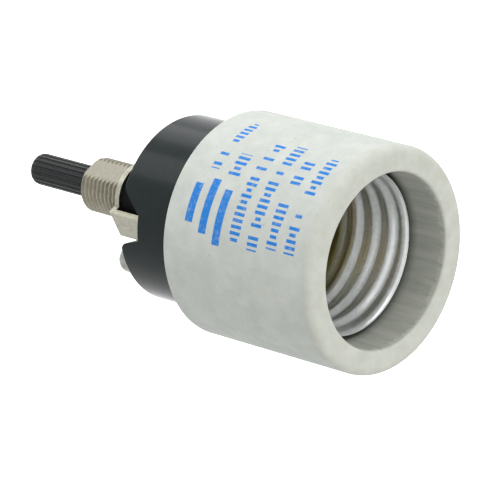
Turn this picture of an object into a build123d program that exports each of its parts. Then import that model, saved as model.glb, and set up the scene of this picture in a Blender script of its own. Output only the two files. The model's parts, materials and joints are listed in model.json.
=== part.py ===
from build123d import *
import math
import os

# Turn knob lamp socket, in millimetres.
# Z runs along the axis and out of the lamp mouth. Zero is the rear face of the
# mounting yoke, where the lamp's panel comes to rest. X points out of the wire
# notch of the live terminal, and the neutral one is opposite.

os.makedirs("parts", exist_ok=True)

# Screw shell, a rolled lamp thread of thin sheet
thread_pitch = 3.629
thread_minor_radius = 12.46
thread_height = 0.8
shell_sheet = 0.38
shell_outer_radius = thread_minor_radius + thread_height + shell_sheet
shell_length = 18.7
shell_lip_flare = 0.26
shell_lip_radius = shell_outer_radius + shell_lip_flare
shell_lip_length = 1.3
shell_rivet_inset = 2.06
shell_rivet_place = thread_minor_radius - shell_rivet_inset
shell_floor_rim = 2.6
shell_floor_opening = shell_rivet_place - shell_floor_rim
shell_ring_ledge = 0.06
shell_ring_lap = 0.1
thread_steps_per_turn = 6

# Porcelain cup, its bore a gap outside the shell's lip
mouth_gap = 0.8
mouth_radius = shell_lip_radius + mouth_gap
body_wall = 4.3
body_radius = mouth_radius + body_wall
body_length = 31.8
floor_thickness = 5.8
rim_outer_round = 1.3
rim_inner_round = 0.5
body_rear_round = 0.3

# Switch cap and its neck
cap_ledge = 3.2
cap_radius = body_radius - cap_ledge
cap_length = 13.1
cap_wall = 2.5
cap_rear_round = 0.2
cavity_depth = 7.4
neck_radius = 5.2
neck_length = 10.1
neck_bore = 4.1
detent_pocket_side = 13.4
detent_pocket_round = 2.0
detent_pocket_depth = 4.2
pillar_radius = 2.8

# Wire notches in the cap's rear face, steep on one side and slanted on the other
notch_depth = 4.2
notch_floor_width = 4.4
notch_steep_run = 1.3
notch_slanted_run = 3.8
notch_corner_round = 2.0
well_radius = 2.4

# Yoke of bent sheet, with feet that lie beside its centre line
yoke_angle = 30.8
yoke_sheet = 1.0
web_radius = 5.6
leg_reach = 7.0
leg_near_side = 2.0
leg_far_side = 3.2
leg_flare_start = 4.0
foot_half_width = 3.1
web_bend_round = 0.5
foot_bend_round = 0.8

# Assembly screws, placed from the yoke's centre line
screw_reach = 11.7
screw_side = 2.5
screw_radius = 1.4
screw_head_radius = 2.3
screw_head_height = 4.3
screw_head_round = 1.5
screw_slot_width = 0.8
screw_slot_depth = 1.2
nut_across_flats = 4.9
nut_thickness = 2.4
nut_pocket_depth = 4.2

# Bushing
bushing_radius = 4.7625
bushing_length = 9.35
bushing_neck_radius = 3.7
bushing_flange_radius = 4.3
bushing_flange_height = 0.7
bushing_flat_distance = 4.02
bushing_flat_angle = -59.2
bushing_end_chamfer = 0.5

# Turn shaft
shaft_radius = 2.75
shaft_reach = 23.8
shaft_end_round = 1.1
groove_count = 18
groove_radius = 0.28
groove_run_in = 0.7
shaft_flange_radius = 3.7
shaft_flange_height = 1.0
shaft_waist_radius = 2.65
shaft_square = 3.7
spigot_radius = 1.5
spigot_length = 1.2

# Switch rotor and what it carries
rotor_hub_radius = 5.0
rotor_length = 8.0
cam_length = 3.4
cam_half_side = 5.3
cam_corner_radius = 5.7
blade_reach = 8.4
blade_width = 4.2
blade_thickness = 0.6
blade_rest_angle = 40.0
blade_rivet_radius = 0.7
blade_rivet_place = 3.4
blade_rivet_length = 2.6
ring_radius = 2.3
ring_thickness = 0.4
washer_radius = 3.9
washer_thickness = 0.3
spring_wire_radius = 0.35
spring_coil_radius = 3.4
spring_turns = 5

# Detent spring
detent_gap = 0.3
detent_sheet = 0.4
detent_height = 3.0
detent_arm = 4.6
detent_round = 1.6

# Strips, terminals and rivets
strip_thickness = 0.8
strip_width = 3.6
strip_bend_round = 1.0
insulator_thickness = 1.0
contact_angle = -50.0
contact_place = 7.4
button_radius = 1.1
button_height = 0.8
terminal_place = 10.7
terminal_width = 5.0
terminal_inner_reach = 2.1
terminal_screw_radius = 1.4
terminal_screw_length = 4.0
terminal_head_radius = 2.2
terminal_head_height = 1.8
contact_rivet_place = 4.5
rivet_radius = 1.2
rivet_head_radius = 1.6
rivet_head_height = 0.6
leaf_thickness = 0.5
leaf_width = 5.0
leaf_crown = 3.2
leaf_crown_place = 1.0
leaf_tip_place = 5.4
leaf_tip_height = 1.6

# Clearances: turning fit, easy fit, and free gap
running = 0.05
loose = 0.1
free = 0.3

# Stations along Z
web_front = yoke_sheet
cap_rear = web_front + neck_length
cap_front = cap_rear + cap_length
mouth = cap_front + body_length
floor = cap_front + floor_thickness
cavity_floor = cap_front - cavity_depth
notch_floor = cap_rear + notch_depth
pocket_floor = cavity_floor - detent_pocket_depth
foot_rear = cap_rear - yoke_sheet
strip_front = cap_front - insulator_thickness
strip_rear = strip_front - strip_thickness
button_face = strip_rear - button_height
blade_front = button_face - loose
rotor_front = blade_front - blade_thickness
rotor_rear = rotor_front - rotor_length
bushing_front = web_front + bushing_flange_height
shaft_flange_rear = bushing_front + loose
shaft_flange_front = shaft_flange_rear + shaft_flange_height
nut_seat = floor - nut_pocket_depth
shell_rivet_seat = cap_front + rivet_head_height + free

# Places round the axis
cavity_radius = cap_radius - cap_wall
screw_place = math.hypot(screw_reach, screw_side)
screw_lead = math.degrees(math.atan2(screw_side, screw_reach))
screw_angle = yoke_angle + screw_lead
load_angle = contact_angle + 180


def outward(angle):
    """Unit direction away from the axis at an angle from X."""
    return Vector(math.cos(math.radians(angle)), math.sin(math.radians(angle)), 0)


def level(height, angle=0.0):
    """Horizontal plane at a height, its x axis pointing out at an angle."""
    return Plane(origin=(0, 0, height), x_dir=outward(angle), z_dir=(0, 0, 1))


def upright(angle):
    """Plane through the axis, its x pointing out at an angle and its y along Z."""
    return Plane(origin=(0, 0, 0), x_dir=outward(angle), z_dir=outward(angle - 90))


def facing(angle, distance):
    """Plane that faces out at an angle and distance, with its y along Z."""
    side = outward(angle + 90)
    return Plane(origin=outward(angle) * distance, x_dir=side, z_dir=outward(angle))


# Porcelain body
with BuildPart() as porcelain_body:
    with BuildSketch(Plane.XZ):
        with BuildLine():
            Polyline(
                (0, cap_front),
                (body_radius, cap_front),
                (body_radius, mouth),
                (mouth_radius, mouth),
                (mouth_radius, floor),
                (0, floor),
                close=True,
            )
        make_face()
    revolve(axis=Axis.Z)
    rim = porcelain_body.edges().filter_by(GeomType.CIRCLE).group_by(Axis.Z)[-1]
    fillet(rim.sort_by(SortBy.RADIUS)[-1], rim_outer_round)
    rim = porcelain_body.edges().filter_by(GeomType.CIRCLE).group_by(Axis.Z)[-1]
    fillet(rim.sort_by(SortBy.RADIUS)[0], rim_inner_round)
    rear = porcelain_body.edges().filter_by(GeomType.CIRCLE).group_by(Axis.Z)[0]
    fillet(rear, body_rear_round)
    with BuildSketch(level(cap_front)):
        with PolarLocations(screw_place, 2, start_angle=screw_angle):
            Circle(screw_radius + free)
        with PolarLocations(shell_rivet_place, 2):
            Circle(rivet_radius + loose)
        with PolarLocations(contact_rivet_place, 1, start_angle=load_angle):
            Circle(rivet_radius + loose)
    extrude(amount=floor - cap_front, mode=Mode.SUBTRACT)
    with BuildSketch(level(nut_seat)):
        with PolarLocations(screw_place, 2, start_angle=screw_angle):
            RegularPolygon(
                nut_across_flats / 2 + loose, 6, major_radius=False, rotation=30
            )
    extrude(amount=nut_pocket_depth, mode=Mode.SUBTRACT)
    with BuildSketch(level(cap_front)):
        with Locations((shell_rivet_place, 0)):
            Circle(rivet_head_radius + loose)
    extrude(amount=shell_rivet_seat - cap_front, mode=Mode.SUBTRACT)
porcelain_body.part.label = "porcelain_body"
export_step(porcelain_body.part, "parts/porcelain_body.step")

# Screw shell: circles whose centre turns about the axis as they rise make a round thread
thread_offset = thread_height / 2
thread_end = floor + shell_length - shell_lip_length
thread_steps = round((thread_end - floor) / thread_pitch * thread_steps_per_turn)
shell_ring_outer = shell_outer_radius + shell_ring_ledge
shell_ring_inner = thread_minor_radius - shell_ring_ledge


def thread_wall(radius):
    rings = []
    for step in range(thread_steps + 1):
        rise = (thread_end - floor) * step / thread_steps
        turn = 2 * math.pi * rise / thread_pitch
        middle = (thread_offset * math.cos(turn), thread_offset * math.sin(turn), floor + rise)
        rings.append(Wire.make_circle(radius, Plane(middle)))
    return Solid.make_loft(rings, ruled=True)


with BuildPart() as screw_shell:
    add(thread_wall(shell_outer_radius - thread_offset))
    add(thread_wall(thread_minor_radius + thread_offset), mode=Mode.SUBTRACT)
    with BuildSketch(level(floor)):
        Circle(shell_outer_radius)
        Circle(shell_floor_opening, mode=Mode.SUBTRACT)
        with PolarLocations(shell_rivet_place, 2):
            Circle(rivet_radius + loose, mode=Mode.SUBTRACT)
    extrude(amount=shell_sheet)
    with BuildSketch(Plane.XZ):
        with BuildLine():
            Polyline(
                (shell_ring_inner, thread_end - shell_ring_lap),
                (shell_ring_outer, thread_end - shell_ring_lap),
                (shell_ring_outer, thread_end),
                (shell_lip_radius, thread_end + shell_lip_length),
                (shell_lip_radius - shell_sheet, thread_end + shell_lip_length),
                (shell_outer_radius - shell_sheet, thread_end + shell_sheet),
                (shell_ring_inner, thread_end + shell_sheet),
                close=True,
            )
        make_face()
    revolve(axis=Axis.Z)
screw_shell.part.label = "screw_shell"
export_step(screw_shell.part, "parts/screw_shell.step")

# Center contact: a leaf that rises over the middle of the floor
leaf_root = floor + leaf_thickness / 2
with BuildPart() as center_contact:
    with BuildSketch(upright(contact_angle)):
        with BuildLine():
            FilletPolyline(
                (-contact_rivet_place - terminal_inner_reach, leaf_root),
                (-contact_rivet_place / 2, leaf_root),
                (leaf_crown_place, floor + leaf_crown),
                (leaf_tip_place, floor + leaf_tip_height),
                radius=leaf_thickness * 2,
            )
        trace(line_width=leaf_thickness)
    extrude(amount=leaf_width / 2, both=True)
    with BuildSketch(level(floor, load_angle)):
        with Locations((contact_rivet_place, 0)):
            Circle(rivet_radius + running)
    extrude(amount=leaf_thickness, mode=Mode.SUBTRACT)
center_contact.part.label = "center_contact"
export_step(center_contact.part, "parts/center_contact.step")

# Rivets, each with a flat head outside the two faces that it holds
rivet_spans = {
    "contact_rivet": (contact_rivet_place, load_angle, strip_rear, floor + leaf_thickness),
    "neutral_rivet": (shell_rivet_place, 180, strip_rear, floor + shell_sheet),
    "shell_rivet": (shell_rivet_place, 0, shell_rivet_seat, floor + shell_sheet),
}
for name, (place, angle, low, high) in rivet_spans.items():
    with BuildPart() as rivet:
        with BuildSketch(level(low, angle)):
            with Locations((place, 0)):
                Circle(rivet_radius)
        extrude(amount=high - low)
        with BuildSketch(level(low, angle), level(high + rivet_head_height, angle)):
            with Locations((place, 0)):
                Circle(rivet_head_radius)
        extrude(amount=-rivet_head_height)
    rivet.part.label = name
    export_step(rivet.part, f"parts/{name}.step")

# Base insulator
with BuildPart() as base_insulator:
    with BuildSketch(level(strip_front)):
        Circle(cavity_radius - loose)
        with PolarLocations(screw_place, 2, start_angle=screw_angle):
            Circle(pillar_radius + free, mode=Mode.SUBTRACT)
        with PolarLocations(contact_rivet_place, 1, start_angle=load_angle):
            Circle(rivet_radius + loose, mode=Mode.SUBTRACT)
        with Locations((-shell_rivet_place, 0)):
            Circle(rivet_radius + loose, mode=Mode.SUBTRACT)
    extrude(amount=insulator_thickness)
base_insulator.part.label = "base_insulator"
export_step(base_insulator.part, "parts/base_insulator.step")

# Switch cap
with BuildPart() as switch_cap:
    with BuildSketch(level(cap_rear)):
        Circle(cap_radius)
    extrude(amount=cap_length)
    rear = switch_cap.edges().filter_by(GeomType.CIRCLE).group_by(Axis.Z)[0]
    fillet(rear, cap_rear_round)
    with BuildSketch(level(web_front)):
        Circle(neck_radius)
    extrude(amount=neck_length)
    with BuildSketch(level(cavity_floor)):
        Circle(cavity_radius)
        with PolarLocations(screw_place, 2, start_angle=screw_angle):
            Circle(pillar_radius, mode=Mode.SUBTRACT)
    extrude(amount=cavity_depth, mode=Mode.SUBTRACT)
    with BuildSketch(level(pocket_floor)):
        RectangleRounded(detent_pocket_side, detent_pocket_side, detent_pocket_round)
    extrude(amount=detent_pocket_depth, mode=Mode.SUBTRACT)
    with BuildSketch(level(web_front)):
        Circle(neck_bore)
    extrude(amount=pocket_floor - web_front, mode=Mode.SUBTRACT)
    with BuildSketch(level(web_front)):
        Circle(bushing_flange_radius + loose)
    extrude(amount=bushing_flange_height + loose, mode=Mode.SUBTRACT)
    with BuildSketch(level(cap_rear)):
        with PolarLocations(screw_place, 2, start_angle=screw_angle):
            Circle(screw_radius + free)
    extrude(amount=cap_length, mode=Mode.SUBTRACT)
    half_floor = notch_floor_width / 2
    steep_edge = half_floor + notch_steep_run
    slanted_edge = half_floor + notch_slanted_run
    for angle in (0, 180):
        with BuildSketch(facing(angle, terminal_place - well_radius)) as notch:
            with BuildLine():
                Polyline(
                    (-half_floor, notch_floor),
                    (-slanted_edge, cap_rear),
                    (-cap_radius, cap_rear),
                    (-cap_radius, web_front),
                    (cap_radius, web_front),
                    (cap_radius, cap_rear),
                    (steep_edge, cap_rear),
                    (half_floor, notch_floor),
                    close=True,
                )
            make_face()
            at_rim = notch.vertices().filter_by_position(
                Axis.Y, cap_rear - loose, cap_rear + loose
            )
            fillet(at_rim.sort_by(Axis.X)[1:3], notch_corner_round)
        extrude(amount=cap_radius, mode=Mode.SUBTRACT)
    with BuildSketch(level(notch_floor)):
        with PolarLocations(terminal_place, 2):
            Circle(well_radius)
    extrude(amount=cavity_floor - notch_floor, mode=Mode.SUBTRACT)
switch_cap.part.label = "switch_cap"
export_step(switch_cap.part, "parts/switch_cap.step")

# Yoke: a round web with a band, two legs that flare on one side, and two feet
foot_far_side = screw_side + foot_half_width
flare_run = foot_far_side - leg_far_side
across = Axis((0, 0, 0), outward(yoke_angle + 90))
with BuildPart() as yoke:
    with BuildSketch(level(0)):
        Circle(web_radius)
    extrude(amount=yoke_sheet)
    for angle in (yoke_angle, yoke_angle + 180):
        with BuildSketch(level(0, angle)):
            with Locations((leg_reach / 2, (leg_far_side - leg_near_side) / 2)):
                Rectangle(leg_reach, leg_far_side + leg_near_side)
        extrude(amount=yoke_sheet)
        with BuildSketch(facing(angle, leg_reach)):
            with BuildLine():
                Polyline(
                    (-leg_near_side, 0),
                    (leg_far_side, 0),
                    (leg_far_side, leg_flare_start),
                    (foot_far_side, leg_flare_start + flare_run),
                    (foot_far_side, cap_rear),
                    (-leg_near_side, cap_rear),
                    close=True,
                )
            make_face()
        extrude(amount=-yoke_sheet)
        with BuildSketch(level(foot_rear, angle)):
            with Locations((screw_reach, screw_side)):
                Circle(foot_half_width)
            with Locations(((leg_reach + screw_reach) / 2, screw_side)):
                Rectangle(screw_reach - leg_reach, 2 * foot_half_width)
        extrude(amount=yoke_sheet)
    bends = yoke.edges().filter_by(across)
    fillet(bends.filter_by_position(Axis.Z, -loose, loose), web_bend_round)
    bends = yoke.edges().filter_by(across)
    fillet(bends.filter_by_position(Axis.Z, foot_rear - loose, foot_rear + loose), foot_bend_round)
    with BuildSketch(level(0, screw_angle)):
        Circle(bushing_neck_radius)
        with PolarLocations(screw_place, 2):
            Circle(screw_radius + loose)
    extrude(amount=cap_rear, mode=Mode.SUBTRACT)
yoke.part.label = "yoke"
export_step(yoke.part, "parts/yoke.step")

# Assembly screws and nuts
with BuildPart() as assembly_screws:
    with BuildSketch(level(foot_rear)):
        with PolarLocations(screw_place, 2, start_angle=screw_angle):
            Circle(screw_head_radius)
    extrude(amount=-screw_head_height)
    crowns = assembly_screws.edges().filter_by(GeomType.CIRCLE).group_by(Axis.Z)[0]
    fillet(crowns, screw_head_round)
    with BuildSketch(level(foot_rear)):
        with PolarLocations(screw_place, 2, start_angle=screw_angle):
            Circle(screw_radius)
    extrude(amount=nut_seat + nut_thickness + free - foot_rear)
    with BuildSketch(level(foot_rear - screw_head_height)):
        with PolarLocations(screw_place, 2, start_angle=screw_angle):
            Rectangle(2 * screw_head_radius, screw_slot_width, rotation=screw_angle)
    extrude(amount=screw_slot_depth, mode=Mode.SUBTRACT)
assembly_screws.part.label = "assembly_screws"
export_step(assembly_screws.part, "parts/assembly_screws.step")

with BuildPart() as assembly_nuts:
    with BuildSketch(level(nut_seat)):
        with PolarLocations(screw_place, 2, start_angle=screw_angle):
            RegularPolygon(nut_across_flats / 2, 6, major_radius=False, rotation=30)
            Circle(screw_radius + running, mode=Mode.SUBTRACT)
    extrude(amount=nut_thickness)
assembly_nuts.part.label = "assembly_nuts"
export_step(assembly_nuts.part, "parts/assembly_nuts.step")

# Bushing, staked into the yoke
with BuildPart() as bushing:
    with BuildSketch(level(-bushing_length)):
        Circle(bushing_radius)
    extrude(amount=bushing_length)
    end = bushing.edges().filter_by(GeomType.CIRCLE).group_by(Axis.Z)[0]
    chamfer(end, bushing_end_chamfer)
    with BuildSketch(level(0)):
        Circle(bushing_neck_radius)
    extrude(amount=bushing_front)
    with BuildSketch(level(web_front)):
        Circle(bushing_flange_radius)
    extrude(amount=bushing_flange_height)
    with BuildSketch(facing(bushing_flat_angle, bushing_flat_distance)):
        with Locations((0, -bushing_length / 2)):
            Rectangle(2 * bushing_radius, bushing_length)
    extrude(amount=bushing_radius, mode=Mode.SUBTRACT)
    with BuildSketch(level(-bushing_length)):
        Circle(shaft_radius + running)
    extrude(amount=bushing_length + bushing_front, mode=Mode.SUBTRACT)
bushing.part.label = "bushing"
export_step(bushing.part, "parts/bushing.step")

# Terminals: a screw plate on the cavity floor, a riser and a tab on the insulator
riser_place = cavity_radius - loose - strip_thickness / 2
plate_level = cavity_floor + strip_thickness / 2
tab_level = strip_front - strip_thickness / 2
for name, angle, tab_end in (
    ("line_terminal", 0, contact_place),
    ("neutral_terminal", 180, shell_rivet_place - rivet_head_radius),
):
    with BuildPart() as terminal:
        with BuildSketch(upright(angle)):
            with BuildLine():
                FilletPolyline(
                    (terminal_place - terminal_inner_reach, plate_level),
                    (riser_place, plate_level),
                    (riser_place, tab_level),
                    (tab_end, tab_level),
                    radius=strip_bend_round,
                )
            trace(line_width=strip_thickness)
        extrude(amount=terminal_width / 2, both=True)
        with BuildSketch(level(cavity_floor)):
            Circle(cavity_radius - loose)
        extrude(amount=cavity_depth, mode=Mode.INTERSECT)
        with BuildSketch(level(cavity_floor, angle)):
            with Locations((terminal_place, 0)):
                Circle(terminal_screw_radius + running)
        extrude(amount=strip_thickness, mode=Mode.SUBTRACT)
        if name == "line_terminal":
            with BuildSketch(level(strip_rear)):
                SlotArc(CenterArc((0, 0), contact_place, 0, contact_angle), strip_width)
            extrude(amount=strip_thickness)
            with BuildSketch(level(button_face, contact_angle)):
                with Locations((contact_place, 0)):
                    Circle(button_radius)
            extrude(amount=button_height)
        else:
            with BuildSketch(level(strip_rear, angle)):
                with Locations((shell_rivet_place, 0)):
                    Circle(rivet_radius + running)
            extrude(amount=strip_thickness, mode=Mode.SUBTRACT)
    terminal.part.label = name
    export_step(terminal.part, f"parts/{name}.step")

# Terminal screws, their heads in the wells of the wire notches
with BuildPart() as terminal_screws:
    with BuildSketch(level(cavity_floor)):
        with PolarLocations(terminal_place, 2):
            Circle(terminal_head_radius)
    extrude(amount=-terminal_head_height)
    with BuildSketch(level(cavity_floor)):
        with PolarLocations(terminal_place, 2):
            Circle(terminal_screw_radius)
    extrude(amount=terminal_screw_length)
    with BuildSketch(level(cavity_floor - terminal_head_height)):
        with PolarLocations(terminal_place, 2):
            Rectangle(2 * terminal_head_radius, screw_slot_width, rotation=90)
    extrude(amount=screw_slot_depth, mode=Mode.SUBTRACT)
terminal_screws.part.label = "terminal_screws"
export_step(terminal_screws.part, "parts/terminal_screws.step")

# Load strip, with its button under the end and the leaf's rivet at the other
strip_span = contact_place - contact_rivet_place
with BuildPart() as load_strip:
    with BuildSketch(level(strip_rear, load_angle)):
        with Locations((contact_rivet_place + strip_span / 2, 0)):
            SlotCenterToCenter(strip_span, strip_width)
        with Locations((contact_rivet_place, 0)):
            Circle(rivet_radius + running, mode=Mode.SUBTRACT)
    extrude(amount=strip_thickness)
    with BuildSketch(level(button_face, load_angle)):
        with Locations((contact_place, 0)):
            Circle(button_radius)
    extrude(amount=button_height)
load_strip.part.label = "load_strip"
export_step(load_strip.part, "parts/load_strip.step")

# Detent spring, a U round the cam
detent_line = cam_corner_radius + detent_gap + detent_sheet / 2
with BuildPart() as detent_spring:
    with BuildSketch(level(pocket_floor + free)):
        with BuildLine():
            FilletPolyline(
                (detent_arm, detent_line),
                (-detent_line, detent_line),
                (-detent_line, -detent_line),
                (detent_arm, -detent_line),
                radius=detent_round,
            )
        trace(line_width=detent_sheet)
    extrude(amount=detent_height)
detent_spring.part.label = "detent_spring"
export_step(detent_spring.part, "parts/detent_spring.step")

# Turn shaft: ribbed end, journal, flange, waist, square and spigot
with BuildPart() as turn_shaft:
    with BuildSketch(level(-shaft_reach)):
        Circle(shaft_radius)
    extrude(amount=shaft_reach + shaft_flange_rear)
    tip = turn_shaft.edges().filter_by(GeomType.CIRCLE).group_by(Axis.Z)[0]
    fillet(tip, shaft_end_round)
    with BuildSketch(level(-shaft_reach)):
        with PolarLocations(shaft_radius, groove_count):
            Circle(groove_radius)
    extrude(amount=shaft_reach - bushing_length + groove_run_in, mode=Mode.SUBTRACT)
    with BuildSketch(level(shaft_flange_rear)):
        Circle(shaft_flange_radius)
    extrude(amount=shaft_flange_height)
    with BuildSketch(level(shaft_flange_front)):
        Circle(shaft_waist_radius)
    extrude(amount=rotor_rear - shaft_flange_front)
    with BuildSketch(level(rotor_rear, blade_rest_angle)):
        Rectangle(shaft_square, shaft_square)
    extrude(amount=rotor_length)
    with BuildSketch(level(rotor_front)):
        Circle(spigot_radius)
    extrude(amount=spigot_length)
turn_shaft.part.label = "turn_shaft"
export_step(turn_shaft.part, "parts/turn_shaft.step")

# Switch rotor: a four-sided cam at the rear and a round hub
with BuildPart() as switch_rotor:
    with BuildSketch(level(rotor_rear)):
        Circle(cam_corner_radius)
        Rectangle(2 * cam_half_side, 2 * cam_half_side, mode=Mode.INTERSECT)
    extrude(amount=cam_length)
    with BuildSketch(level(rotor_rear + cam_length)):
        Circle(rotor_hub_radius)
    extrude(amount=rotor_length - cam_length)
    with BuildSketch(level(rotor_rear, blade_rest_angle)):
        Rectangle(shaft_square + running, shaft_square + running)
    extrude(amount=rotor_length, mode=Mode.SUBTRACT)
    with BuildSketch(level(rotor_front, blade_rest_angle)):
        with PolarLocations(blade_rivet_place, 2):
            Circle(blade_rivet_radius + running)
    extrude(amount=blade_thickness - blade_rivet_length, mode=Mode.SUBTRACT)
switch_rotor.part.label = "switch_rotor"
export_step(switch_rotor.part, "parts/switch_rotor.step")

# Contact blade and its rivets, flush with its face
with BuildPart() as contact_blade:
    with BuildSketch(level(rotor_front, blade_rest_angle)):
        SlotOverall(2 * blade_reach, blade_width)
        Circle(spigot_radius + running, mode=Mode.SUBTRACT)
        with PolarLocations(blade_rivet_place, 2):
            Circle(blade_rivet_radius + running, mode=Mode.SUBTRACT)
    extrude(amount=blade_thickness)
contact_blade.part.label = "contact_blade"
export_step(contact_blade.part, "parts/contact_blade.step")

with BuildPart() as blade_rivets:
    with BuildSketch(level(blade_front, blade_rest_angle)):
        with PolarLocations(blade_rivet_place, 2):
            Circle(blade_rivet_radius)
    extrude(amount=-blade_rivet_length)
blade_rivets.part.label = "blade_rivets"
export_step(blade_rivets.part, "parts/blade_rivets.step")

# Retaining ring and thrust washer
with BuildPart() as retaining_ring:
    with BuildSketch(level(blade_front)):
        Circle(ring_radius)
        Circle(spigot_radius + running, mode=Mode.SUBTRACT)
    extrude(amount=ring_thickness)
retaining_ring.part.label = "retaining_ring"
export_step(retaining_ring.part, "parts/retaining_ring.step")

with BuildPart() as thrust_washer:
    with BuildSketch(level(rotor_rear)):
        Circle(washer_radius)
        Circle(shaft_waist_radius + loose, mode=Mode.SUBTRACT)
    extrude(amount=-washer_thickness)
thrust_washer.part.label = "thrust_washer"
export_step(thrust_washer.part, "parts/thrust_washer.step")

# Rotor spring, from the shaft's flange to the washer
coil_low = shaft_flange_front + spring_wire_radius
coil_height = rotor_rear - washer_thickness - spring_wire_radius - coil_low
with BuildPart() as rotor_spring:
    with BuildLine() as coil:
        Helix(coil_height / spring_turns, coil_height, spring_coil_radius, center=(0, 0, coil_low))
    with BuildSketch(Plane(origin=coil.line @ 0, z_dir=coil.line % 0)):
        Circle(spring_wire_radius)
    sweep(path=coil.line, is_frenet=True)
rotor_spring.part.label = "rotor_spring"
export_step(rotor_spring.part, "parts/rotor_spring.step")
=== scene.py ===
import json
import math

import bpy
from mathutils import Matrix, Vector


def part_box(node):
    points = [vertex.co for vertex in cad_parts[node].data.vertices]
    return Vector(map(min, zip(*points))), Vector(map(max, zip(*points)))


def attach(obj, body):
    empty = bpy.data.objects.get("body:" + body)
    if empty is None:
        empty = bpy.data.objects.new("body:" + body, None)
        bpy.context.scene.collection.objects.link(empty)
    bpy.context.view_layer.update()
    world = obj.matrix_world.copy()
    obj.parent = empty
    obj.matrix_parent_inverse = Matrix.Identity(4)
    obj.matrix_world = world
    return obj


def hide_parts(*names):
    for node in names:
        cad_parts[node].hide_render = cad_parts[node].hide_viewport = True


# Turn knob lamp socket. The row frame is in metres: Z runs along the axis and out
# of the lamp mouth, and X points out of the wire notch of the live terminal.

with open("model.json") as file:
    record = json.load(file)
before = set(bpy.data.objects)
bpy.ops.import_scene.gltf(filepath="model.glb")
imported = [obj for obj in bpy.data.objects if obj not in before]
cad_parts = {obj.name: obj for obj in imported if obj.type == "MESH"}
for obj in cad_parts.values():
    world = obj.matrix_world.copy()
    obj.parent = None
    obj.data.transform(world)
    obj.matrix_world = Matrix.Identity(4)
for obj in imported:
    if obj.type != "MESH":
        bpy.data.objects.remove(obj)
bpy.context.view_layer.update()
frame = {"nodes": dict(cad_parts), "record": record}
nodes = frame["nodes"]

mm = 0.001

# Sizes read from the frame
body_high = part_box("porcelain_body")[1]
shell_low, shell_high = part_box("screw_shell")
bushing_low, bushing_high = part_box("bushing")
body_radius = body_high[0]
mouth = body_high[2]
shell_floor = shell_low[2]
shell_top = shell_high[2]

# Wall of the cup round its mouth
body_wall = 4.3 * mm
mouth_radius = body_radius - body_wall

# Lamp thread, a round wave in a thin sheet. Its start is in turns from the solid's.
thread_pitch = 3.629 * mm
thread_minor = 12.46 * mm
thread_height = 0.8 * mm
thread_start = 0.2
shell_sheet = 0.38 * mm
shell_floor_opening = 7.8 * mm
# The ridge after the last groove dies out at the lip. It is gone where the thread ends so
# many pitches past the groove or sooner, and whole where it ends later by the fade.
ridge_gone = 0.5
ridge_fade = 0.4

# Lip of the shell, a flare that thins to its rounded edge and bends outwards by a power
shell_lip_radius = shell_high[0]
shell_lip_length = 1.3 * mm
shell_lip_edge = 0.14 * mm
shell_lip_bend = 2.2

# Bushing, with a thread of 27 to the inch. Crest and flank are shares of half a pitch.
bushing_radius = 4.7625 * mm
bushing_pitch = 25.4 / 27 * mm
bushing_thread_depth = 0.42 * mm
bushing_crest = 0.1
bushing_flank = 0.75
bushing_chamfer = 0.5 * mm
bushing_neck_radius = 3.7 * mm
bushing_flange_radius = 4.3 * mm
bushing_flange_rear = 1.0 * mm
bushing_bore = 2.8 * mm
bushing_flat = 4.02 * mm
bushing_flat_angle = math.radians(-59.2)

# How fine the meshes are: points round the axis, rings to a pitch of each thread, rings
# along the lip and over its edge, and the angle from which an edge is sharp
points_around = 240
bushing_rings = 12
shell_rings = 24
lip_rings = 10
lip_edge_rings = 8
sharp_angle = math.radians(40)

# Print: rows of plain bars round the cup. A row has its middle along the axis, the
# angles between which it runs, in degrees, and the length of its bars.
print_rows = (
    (39.4 * mm, -68.0, -8.0, 2.3 * mm),
    (43.4 * mm, -68.0, -8.0, 2.3 * mm),
    (47.4 * mm, -64.0, -11.0, 2.3 * mm),
    (51.2 * mm, -65.0, -11.0, 2.3 * mm),
    (34.9 * mm, -55.0, -41.0, 2.6 * mm),
    (30.6 * mm, -78.0, -43.0, 1.9 * mm),
)
print_bar_pitch = 1.05 * mm
print_bar_share = 0.55
# A number from 0 to 1 is drawn for each bar, in each row from another place. Up to the
# first value the bar is missing, and up to the second it is shortened, to the third as a
# share of its length at the least. The fourth is how far apart the rows' places lie.
print_missing = 0.12
print_shortened = 0.5
print_shortest = 0.5
print_row_draws = 40.37
# Beside the short rows, a few broad plain bands: middle, angles and width
print_bands = (
    (29.2 * mm, -34.0, -14.0, 1.6 * mm),
    (32.4 * mm, -38.0, -10.0, 1.6 * mm),
    (35.6 * mm, -34.0, -6.0, 1.6 * mm),
)
# How soft the print's edges are: beside a bar, in its pitches, at the ends of rows and
# bands, in degrees, and at the ends of a bar and beside a band
bar_side = 0.06
row_end = 0.3
band_end = 0.4
bar_end = 0.12 * mm
band_side = 0.1 * mm

# Camera, in its own axes: right, down and ahead. The mouth's centre, the way the axis
# runs towards the knob, the way that is downhill across the axis, and how far X is
# turned down from the level.
lens = 294.0
mouth_seen = Vector((23.6985, 3.5028, 629.1647)) * mm
axis_seen = Vector((-0.73329, -0.20061, 0.64965))
across_seen = Vector((-0.15016, 0.97967, 0.13303))
turn_of_x = math.radians(10.5)


# Meshes


def skin(name, rings, body, replaced):
    """A closed surface through rings of points, the last joined to the first."""
    count = len(rings[0])
    points = [point for ring in rings for point in ring]
    faces = []
    for row in range(len(rings)):
        below, above = row * count, (row + 1) % len(rings) * count
        for step in range(count):
            after = (step + 1) % count
            faces.append((below + step, below + after, above + after, above + step))
    mesh = bpy.data.meshes.new(name)
    mesh.from_pydata(points, [], faces)
    mesh.validate()
    piece = bpy.data.objects.new(name, mesh)
    bpy.context.scene.collection.objects.link(piece)
    mesh.shade_smooth()
    mesh.set_sharp_from_angle(angle=sharp_angle)
    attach(piece, body)
    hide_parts(replaced)
    return piece


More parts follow.
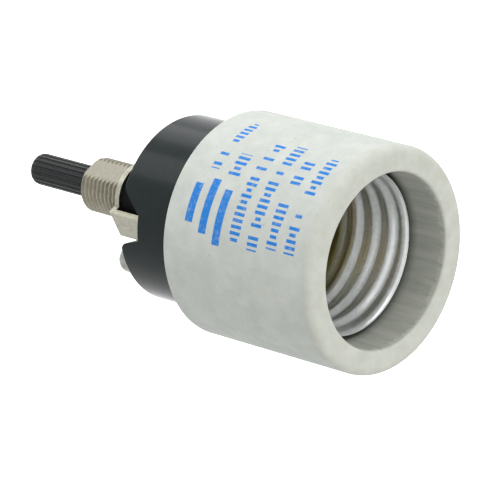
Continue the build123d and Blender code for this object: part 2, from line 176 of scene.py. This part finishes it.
def ring_points(height, radius):
    """Points round the axis. The radius is a number, or a function of angle and height."""
    points = []
    for step in range(points_around):
        angle = 2 * math.pi * step / points_around
        out = radius(angle, height) if callable(radius) else radius
        points.append((out * math.cos(angle), out * math.sin(angle), height))
    return points


def levels(low, high, step):
    """Even heights from low to high, about a step apart."""
    count = max(1, round((high - low) / step))
    return [low + (high - low) * index / count for index in range(count + 1)]


def soft_step(share):
    """0 up to 0 and 1 from 1 on, with a smooth rise between them."""
    share = min(1, max(0, share))
    return share * share * (3 - 2 * share)


def make_bushing():
    """The bushing with its thread cut, outside from rear to front, and back through its bore."""
    rear = bushing_low[2]
    front = bushing_high[2]

    def threaded(angle, height):
        phase = (height / bushing_pitch - angle / (2 * math.pi)) % 1
        tooth = abs(2 * phase - 1)
        cut = min(1, max(0, (tooth - bushing_crest) / bushing_flank))
        radius = bushing_radius - bushing_thread_depth * cut
        radius = min(radius, bushing_radius - bushing_chamfer + (height - rear))
        away = math.cos(angle - bushing_flat_angle)
        if away > 0:
            radius = min(radius, bushing_flat / away)
        return radius

    rings = [ring_points(rear, bushing_bore)]
    for height in levels(rear, 0, bushing_pitch / bushing_rings):
        rings.append(ring_points(height, threaded))
    for height, radius in (
        (0, bushing_neck_radius),
        (bushing_flange_rear, bushing_neck_radius),
        (bushing_flange_rear, bushing_flange_radius),
        (front, bushing_flange_radius),
        (front, bushing_bore),
    ):
        rings.append(ring_points(height, radius))
    return skin("threaded_bushing", rings, "socket", "bushing")


def make_shell():
    """The rolled shell, up its outside from the floor, over the lip and down its inside."""
    thread_end = shell_top - shell_lip_length
    middle = thread_minor + thread_height / 2

    def wave(angle, height):
        """The thread's rise. Past its last full groove the ridge dies out towards the lip."""
        turn = (height - shell_floor) / thread_pitch - angle / (2 * math.pi) - thread_start
        to_end = turn % 1 + (thread_end - height) / thread_pitch
        ridge = soft_step((to_end - ridge_gone) / ridge_fade) if to_end < 1 else 1
        return thread_height / 2 * (1 - ridge * (1 - math.cos(2 * math.pi * turn)))

    def inner(angle, height):
        return middle + wave(angle, height)

    def outer(angle, height):
        return inner(angle, height) + shell_sheet

    floor_top = shell_floor + shell_sheet
    step = thread_pitch / shell_rings
    rings = [ring_points(shell_floor, shell_floor_opening)]
    for height in levels(shell_floor, thread_end, step):
        rings.append(ring_points(height, outer))

    lip_start = middle + thread_height / 2
    lip_round = shell_lip_edge / 2
    flare = shell_lip_radius - shell_lip_edge - lip_start
    curl = []
    for height in levels(thread_end, shell_top - lip_round, shell_lip_length / lip_rings)[1:]:
        share = (height - thread_end) / (shell_lip_length - lip_round)
        curl.append((height, lip_start + flare * share**shell_lip_bend))
    for height, radius in curl:
        rings.append(ring_points(height, min(radius + shell_sheet, shell_lip_radius)))
    for index in range(1, lip_edge_rings):
        turn = math.pi * index / lip_edge_rings
        height = shell_top - lip_round * (1 - math.sin(turn))
        rings.append(ring_points(height, shell_lip_radius - lip_round * (1 - math.cos(turn))))
    for height, radius in reversed(curl):
        rings.append(ring_points(height, radius))

    for height in reversed(levels(floor_top, thread_end, step)):
        rings.append(ring_points(height, inner))
    rings.append(ring_points(floor_top, shell_floor_opening))
    return skin("rolled_shell", rings, "socket", "screw_shell")


# Materials


class Paint:
    """A material and short ways to add nodes to it."""

    bump_strength = 0.5

    def __init__(self, name):
        self.material = bpy.data.materials.new(name)
        self.material.use_nodes = True
        self.tree = self.material.node_tree
        self.shader = self.tree.nodes["Principled BSDF"]
        self.place = self.node("ShaderNodeTexCoord").outputs["Object"]

    def node(self, kind, **values):
        made = self.tree.nodes.new(kind)
        for name, value in values.items():
            setattr(made, name, value)
        return made

    def link(self, source, target):
        self.tree.links.new(source, target)

    def feed(self, socket, value):
        """Links the output of a node to a socket, or sets the socket to a plain value."""
        if hasattr(value, "is_output"):
            self.link(value, socket)
        else:
            socket.default_value = value

    def math(self, operation, first, second=0.0, third=0.0):
        made = self.node("ShaderNodeMath", operation=operation)
        for index, value in enumerate((first, second, third)):
            self.feed(made.inputs[index], value)
        return made.outputs[0]

    def split(self):
        made = self.node("ShaderNodeSeparateXYZ")
        self.link(self.place, made.inputs["Vector"])
        return made.outputs["X"], made.outputs["Y"], made.outputs["Z"]

    def distance(self, x, y):
        """How far a point lies from the axis."""
        across = self.math("MULTIPLY", x, x)
        return self.math("SQRT", self.math("MULTIPLY_ADD", y, y, across))

    def squeeze(self, share):
        """Places that lie closer along the axis, so that a noise there is drawn out."""
        made = self.node("ShaderNodeMapping")
        made.inputs["Scale"].default_value = (1, 1, share)
        self.link(self.place, made.inputs["Vector"])
        return made.outputs["Vector"]

    def noise(self, size, detail=2.0, rough=0.5, place=None):
        made = self.node("ShaderNodeTexNoise")
        made.inputs["Scale"].default_value = 1 / size
        made.inputs["Detail"].default_value = detail
        made.inputs["Roughness"].default_value = rough
        self.link(place or self.place, made.inputs["Vector"])
        return made.outputs["Fac"]

    def spots(self, size):
        """How far a point lies from the nearest of many scattered spots."""
        made = self.node("ShaderNodeTexVoronoi")
        made.inputs["Scale"].default_value = 1 / size
        self.link(self.place, made.inputs["Vector"])
        return made.outputs["Distance"]

    def ramp(self, value, low, high, start=0.0, end=1.0):
        """Runs from start, where the value is low or less, to end, where it is high or more."""
        made = self.node("ShaderNodeMapRange", clamp=True)
        for name, given in (
            ("Value", value),
            ("From Min", low),
            ("From Max", high),
            ("To Min", start),
            ("To Max", end),
        ):
            self.feed(made.inputs[name], given)
        return made.outputs["Result"]

    def soft_between(self, value, low, high, edge):
        """1 from low to high and 0 beyond them, with soft edges."""
        rise = self.ramp(value, low - edge / 2, low + edge / 2)
        fall = self.ramp(value, high - edge / 2, high + edge / 2, 1.0, 0.0)
        return self.math("MULTIPLY", rise, fall)

    def mix(self, share, first, second):
        made = self.node("ShaderNodeMix", data_type="RGBA")
        self.feed(made.inputs["Factor"], share)
        for name, value in (("A", first), ("B", second)):
            socket = [s for s in made.inputs if s.name == name and s.type == "RGBA"][0]
            self.feed(socket, value)
        return [s for s in made.outputs if s.type == "RGBA"][0]

    def cover(self, color, share, strength, tint):
        """A colour with a tint over it, which has its full strength where the share is 1."""
        return self.mix(self.math("MULTIPLY", share, strength), color, tint)

    def bump(self, height, depth):
        made = self.node("ShaderNodeBump")
        made.inputs["Distance"].default_value = depth
        made.inputs["Strength"].default_value = self.bump_strength
        self.link(height, made.inputs["Height"])
        self.link(made.outputs["Normal"], self.shader.inputs["Normal"])

    def finish(self, color, rough, metal=0.0, index=1.45):
        self.feed(self.shader.inputs["Base Color"], color)
        self.feed(self.shader.inputs["Roughness"], rough)
        self.shader.inputs["Metallic"].default_value = metal
        self.shader.inputs["IOR"].default_value = index
        return self.material


def shade(red, green, blue):
    """A colour as it is seen, from 0 to 255, in the light that Blender works in."""

    def linear(value):
        part = value / 255
        return part / 12.92 if part <= 0.04045 else ((part + 0.055) / 1.055) ** 2.4

    return (linear(red), linear(green), linear(blue), 1.0)


def printed(paint, x, y, z):
    """1 on the cup's print, and 0 beside it."""
    angle = paint.math("DEGREES", paint.math("ARCTAN2", y, x))
    arc = paint.math("MULTIPLY", paint.math("RADIANS", angle), body_radius)
    place = paint.math("DIVIDE", arc, print_bar_pitch)
    cell = paint.math("FLOOR", place)
    within = paint.math("FRACT", place)
    low, high = (1 - print_bar_share) / 2, (1 + print_bar_share) / 2
    bar = paint.soft_between(within, low, high, bar_side)
    total = None
    for index, (middle, first, last, length) in enumerate(print_rows):
        drawn = paint.node("ShaderNodeTexWhiteNoise", noise_dimensions="1D")
        paint.link(paint.math("ADD", cell, print_row_draws * index), drawn.inputs["W"])
        chance = drawn.outputs["Value"]
        share = paint.ramp(chance, print_missing, print_shortened, print_shortest, 1.0)
        here = paint.math("GREATER_THAN", chance, print_missing)
        reach = paint.math("MULTIPLY", share, length / 2)
        away = paint.math("ABSOLUTE", paint.math("SUBTRACT", z, middle))
        tall = paint.ramp(paint.math("SUBTRACT", reach, away), 0.0, bar_end)
        run = paint.soft_between(angle, first, last, row_end)
        row = paint.math("MULTIPLY", tall, run)
        row = paint.math("MULTIPLY", row, paint.math("MULTIPLY", bar, here))
        total = row if total is None else paint.math("MAXIMUM", total, row)
    for middle, first, last, width in print_bands:
        across = paint.soft_between(z, middle - width / 2, middle + width / 2, band_side)
        band = paint.math("MULTIPLY", across, paint.soft_between(angle, first, last, band_end))
        total = paint.math("MAXIMUM", total, band)
    worn = paint.ramp(paint.noise(0.7 * mm, detail=4.0, rough=0.7), 0.3, 0.5, 0.65, 1.0)
    return paint.math("MULTIPLY", total, worn)


def clay(paint, z):
    """The cup's bare clay, with clouds, grain, stains and specks, and wear on the rim."""
    cloud = paint.ramp(paint.noise(3.5 * mm, detail=5.0, rough=0.65), 0.36, 0.64)
    color = paint.mix(cloud, shade(196, 201, 196), shade(208, 212, 206))
    grain = paint.ramp(paint.noise(0.4 * mm, detail=3.0, rough=0.7), 0.3, 0.7)
    color = paint.cover(color, grain, 0.32, shade(180, 185, 180))
    stain = paint.ramp(paint.noise(2.2 * mm), 0.6, 0.74)
    color = paint.cover(color, stain, 0.3, shade(198, 194, 172))
    speck = paint.ramp(paint.spots(3.2 * mm), 0.03, 0.08, 1.0, 0.0)
    color = paint.cover(color, speck, 0.4, shade(140, 128, 104))
    rim = paint.ramp(z, mouth - 2.6 * mm, mouth - 0.6 * mm)
    blotch = paint.ramp(paint.noise(2.4 * mm, detail=4.0, rough=0.6), 0.34, 0.66)
    worn = paint.mix(blotch, shade(203, 205, 195), shade(190, 191, 178))
    color = paint.cover(color, rim, 0.7, worn)
    burnt = paint.ramp(paint.noise(0.55 * mm), 0.72, 0.8)
    return paint.cover(color, paint.math("MULTIPLY", burnt, rim), 0.5, shade(150, 138, 104))


def in_mouth(paint, z, radius):
    """1 on the wall of the mouth, up to an uneven edge below the rim, and else 0."""
    within = paint.ramp(radius, mouth_radius + 0.08 * mm, mouth_radius + 0.3 * mm, 1.0, 0.0)
    tongue = paint.noise(0.7 * mm, rough=0.6, place=paint.squeeze(0.2))
    tongue = paint.ramp(tongue, 0.3, 0.7, -0.2 * mm, 1.5 * mm)
    below = paint.math("SUBTRACT", mouth - 0.35 * mm, paint.math("ADD", z, tongue))
    return paint.math("MULTIPLY", within, paint.ramp(below, -0.25 * mm, 0.25 * mm))


def mouth_wall(paint, z, radius):
    """The wall of the mouth, streaked along the axis, in a tone darker than the clay as painted
    shade, and with more painted shade in the gap round the lip.
    """
    broad = paint.ramp(paint.noise(1.6 * mm, place=paint.squeeze(0.1)), 0.35, 0.65)
    fine = paint.noise(0.5 * mm, detail=3.0, rough=0.7, place=paint.squeeze(0.12))
    fine = paint.ramp(fine, 0.3, 0.7)
    streak = paint.math("MULTIPLY_ADD", fine, 0.45, paint.math("MULTIPLY", broad, 0.55))
    # The wall's own streaks, in a tone darker than the clay outside as painted shade
    color = paint.mix(streak, shade(166, 170, 160), shade(194, 196, 188))
    # Painted shade in the gap between the wall and the shell's lip
    painted_gap_shade = paint.ramp(z, shell_top - 1.5 * mm, shell_top + 1.3 * mm, 0.8, 0.0)
    painted_gap_shade = paint.math("MULTIPLY", painted_gap_shade, paint.ramp(radius, 13.5 * mm, 14.1 * mm))
    return paint.mix(painted_gap_shade, color, shade(64, 62, 54))


def porcelain():
    paint = Paint("porcelain")
    x, y, z = paint.split()
    radius = paint.distance(x, y)
    outside = paint.ramp(radius, body_radius - 0.6 * mm, body_radius - 0.4 * mm)
    ink = paint.math("MULTIPLY", printed(paint, x, y, z), outside)
    color = paint.cover(clay(paint, z), ink, 0.97, shade(4, 122, 210))
    # The mouth's wall, with its painted shade, laid over the clay
    color = paint.mix(in_mouth(paint, z, radius), color, mouth_wall(paint, z, radius))
    paint.bump(paint.noise(0.5 * mm, detail=3.0, rough=0.6), 0.03 * mm)
    return paint.finish(color, 0.8, index=1.35)


def moulding(name, dark, light, roughness, index=1.45, painted_shade_share=None):
    """A moulding, with painted shade where a share of it is given: a near-black colour and a
    duller gloss.
    """
    paint = Paint(name)
    color = paint.mix(paint.noise(1.5 * mm, detail=3.0, rough=0.6), dark, light)
    rough = paint.ramp(paint.noise(0.4 * mm), 0.3, 0.7, *roughness)
    if painted_shade_share:
        # Painted shade: a near-black colour and a duller gloss laid over the moulding
        share = painted_shade_share(paint)
        color = paint.mix(share, color, shade(6, 6, 4))
        rough = paint.math("MAXIMUM", rough, paint.math("MULTIPLY", share, 0.9))
    paint.bump(paint.noise(0.25 * mm), 0.01 * mm)
    return paint.finish(color, rough, index=index)


def metal(name, dark, light, roughness, metallic=1.0, tints=()):
    """A metal with a worn grain. A tint is a colour, and how much of it is at a place."""
    paint = Paint(name)
    grain = 0.8 * mm
    cloud = paint.ramp(paint.noise(grain, detail=4.0, rough=0.6), 0.3, 0.7)
    color = paint.mix(cloud, dark, light)
    for tint, amount in tints:
        color = paint.mix(amount(paint), color, tint)
    rough = paint.ramp(paint.noise(grain / 3), 0.3, 0.7, *roughness)
    return paint.finish(color, rough, metal=metallic)


def painted_shade_round_neck(paint):
    """Painted shade in the middle of the cap, round its neck."""
    x, y, _ = paint.split()
    return paint.ramp(paint.distance(x, y), 6.0 * mm, 9.5 * mm, 0.85, 0.0)


def painted_shade_deep_in_shell(paint):
    """Painted shade at the bottom of the shell: 1 there, and 0 from a little over two turns up.
    """
    z = paint.split()[2]
    return paint.ramp(z, shell_floor + 4.6 * mm, shell_floor + 8.0 * mm, 1.0, 0.0)


def on_flat(paint):
    """1 on the bushing's flat, and 0 beside it."""
    margin = 0.05 * mm
    x, y, _ = paint.split()
    across = paint.math("MULTIPLY", y, math.sin(bushing_flat_angle))
    out = paint.math("MULTIPLY_ADD", x, math.cos(bushing_flat_angle), across)
    return paint.math("GREATER_THAN", out, bushing_flat - margin)


def painted_shade_in_grooves(paint):
    """Painted shade in the bushing's grooves, with none on its crests and on its flat."""
    x, y, _ = paint.split()
    root = bushing_radius - bushing_thread_depth
    crest = bushing_radius - 0.12 * mm
    # Painted shade, strongest at the root of the thread
    groove_shade_share = paint.ramp(paint.distance(x, y), root, crest, 0.7, 0.0)
    return paint.math("MULTIPLY", groove_shade_share, paint.math("SUBTRACT", 1.0, on_flat(paint)))


def milled(paint):
    """The dull grain of the bushing's flat."""
    grain = paint.ramp(paint.noise(0.6 * mm, detail=3.0, rough=0.6), 0.3, 0.7, 0.75, 1.0)
    return paint.math("MULTIPLY", grain, on_flat(paint))


# Painted shade: the dark olive that the shell's colour turns to towards its bottom
painted_olive_shade = shade(106, 102, 66)
# Painted shade in the bushing's grooves
groove_painted_shade = shade(122, 117, 95)
milled_face = shade(114, 111, 101)
materials = {
    "porcelain": porcelain(),
    "black_phenolic": moulding(
        "black_phenolic",
        dark=shade(26, 33, 33),
        light=shade(36, 43, 44),
        roughness=(0.16, 0.22),
        index=1.18,
        # Painted shade round the cap's neck
        painted_shade_share=painted_shade_round_neck,
    ),
    "black_shaft_moulding": moulding(
        "black_shaft",
        dark=shade(20, 25, 25),
        light=shade(31, 36, 36),
        roughness=(0.4, 0.55),
        index=1.3,
    ),
    "shell_aluminium": metal(
        "shell_aluminium",
        dark=shade(222, 225, 224),
        light=shade(238, 240, 240),
        roughness=(0.27, 0.33),
        metallic=0.8,
        # Painted shade deep in the shell
        tints=((painted_olive_shade, painted_shade_deep_in_shell),),
    ),
    "plated_steel": metal(
        "plated_steel",
        dark=shade(127, 126, 113),
        light=shade(148, 147, 134),
        roughness=(0.38, 0.5),
    ),
    "plated_bushing": metal(
        "plated_bushing",
        dark=shade(138, 134, 121),
        light=shade(156, 152, 140),
        roughness=(0.32, 0.42),
        # Painted shade in the grooves, and the milled flat's own colour
        tints=((groove_painted_shade, painted_shade_in_grooves), (milled_face, milled)),
    ),
    "bright_steel": metal(
        "bright_steel",
        dark=shade(110, 113, 108),
        light=shade(136, 139, 134),
        roughness=(0.26, 0.38),
    ),
    "spring_steel": metal(
        "spring_steel",
        dark=shade(150, 150, 146),
        light=shade(180, 180, 176),
        roughness=(0.25, 0.4),
    ),
    "brass": metal(
        "brass",
        dark=shade(176, 142, 80),
        light=shade(202, 170, 104),
        roughness=(0.22, 0.36),
    ),
    "fibre": moulding(
        "fibre",
        dark=shade(92, 78, 62),
        light=shade(116, 100, 82),
        roughness=(0.8, 0.95),
    ),
}


def dress(piece, slot):
    piece.data.materials.clear()
    piece.data.materials.append(materials[slot])


slots = {entry["node"]: entry["material_slot"] for entry in frame["record"]["subparts"]}
for name, piece in nodes.items():
    dress(piece, slots[name])
dress(make_bushing(), "plated_bushing")
dress(make_shell(), "shell_aluminium")


# Camera


def place_camera():
    """Sets the camera where the photo was taken, and gives its right, up and rear."""
    along_z = -axis_seen
    side = axis_seen.cross(across_seen).normalized()
    along_x = across_seen * math.sin(turn_of_x) + side * math.cos(turn_of_x)
    along_y = across_seen * math.cos(turn_of_x) - side * math.sin(turn_of_x)
    seen = Matrix((along_x, along_y, along_z)).transposed()
    origin = mouth_seen - along_z * mouth
    back = seen.transposed()
    right = back @ Vector((1, 0, 0))
    up = back @ Vector((0, -1, 0))
    rear = back @ Vector((0, 0, -1))
    data = bpy.data.cameras.new("camera")
    data.lens = lens
    data.sensor_width = 36.0
    data.clip_start = 0.05
    data.clip_end = 20.0
    data.dof.use_dof = False
    holder = bpy.data.objects.new("camera", data)
    stand = Matrix((right, up, rear)).transposed().to_4x4()
    stand.translation = -(back @ origin)
    holder.matrix_world = stand
    bpy.context.scene.collection.objects.link(holder)
    bpy.context.scene.camera = holder
    return right, up, rear


right, up, rear = place_camera()
centre = Vector((0, 0, (mouth + bushing_low[2]) / 2))


# Light


def lamp(name, direction, distance, size, power):
    """A square lamp that faces the socket's centre from a direction."""
    data = bpy.data.lights.new(name, "AREA")
    data.shape = "SQUARE"
    data.size = size
    data.energy = power
    holder = bpy.data.objects.new(name, data)
    holder.location = centre + direction.normalized() * distance
    holder.rotation_mode = "QUATERNION"
    holder.rotation_quaternion = (-direction).to_track_quat("-Z", "Y")
    bpy.context.scene.collection.objects.link(holder)


lamp("key", up * 1.0 + rear * 0.35, distance=0.6, size=0.6, power=1.9)
lamp("strip", right * -0.285 + up * 0.845 + rear * -0.449, distance=0.6, size=0.245, power=0.37)
lamp("fill_right", right * 1.0 + rear * 0.9 + up * -0.25, distance=0.7, size=0.35, power=1.4)
lamp("fill_left", right * -0.73 + up * 0.68, distance=0.7, size=0.3, power=0.78)


def seen_directly(tree):
    """1 where a ray comes from the camera, a reflection or through glass, and else 0."""
    path = tree.nodes.new("ShaderNodeLightPath")
    share = path.outputs["Is Camera Ray"]
    for other in ("Is Glossy Ray", "Is Transmission Ray"):
        either = tree.nodes.new("ShaderNodeMath")
        either.operation = "MAXIMUM"
        tree.links.new(share, either.inputs[0])
        tree.links.new(path.outputs[other], either.inputs[1])
        share = either.outputs[0]
    return share


def sky():
    """A world that lights the socket at a lower level than the white at which it is seen."""
    world = bpy.data.worlds.new("studio")
    bpy.context.scene.world = world
    world.use_nodes = True
    tree = world.node_tree
    light = tree.nodes["Background"]
    light.inputs["Color"].default_value = (1.0, 1.0, 1.0, 1.0)
    level = tree.nodes.new("ShaderNodeMapRange")
    tree.links.new(seen_directly(tree), level.inputs["Value"])
    level.inputs["To Min"].default_value = 0.73
    level.inputs["To Max"].default_value = 1.0
    tree.links.new(level.outputs["Result"], light.inputs["Strength"])


def floor():
    """A pale floor, far enough below the socket that a camera looking up stays above it."""
    size = 15.0
    height = -1.5
    corners = ((-size, -size), (size, -size), (size, size), (-size, size))
    mesh = bpy.data.meshes.new("floor")
    mesh.from_pydata([(x, y, height) for x, y in corners], [], [(0, 1, 2, 3)])
    piece = bpy.data.objects.new("floor", mesh)
    bpy.context.scene.collection.objects.link(piece)
    paint = Paint("floor")
    paint.link(seen_directly(paint.tree), paint.shader.inputs["Emission Strength"])
    paint.shader.inputs["Emission Color"].default_value = (1.0, 1.0, 1.0, 1.0)
    mesh.materials.append(paint.finish(shade(250, 250, 250), 0.9))


sky()
floor()

bpy.context.scene.view_settings.view_transform = "Standard"
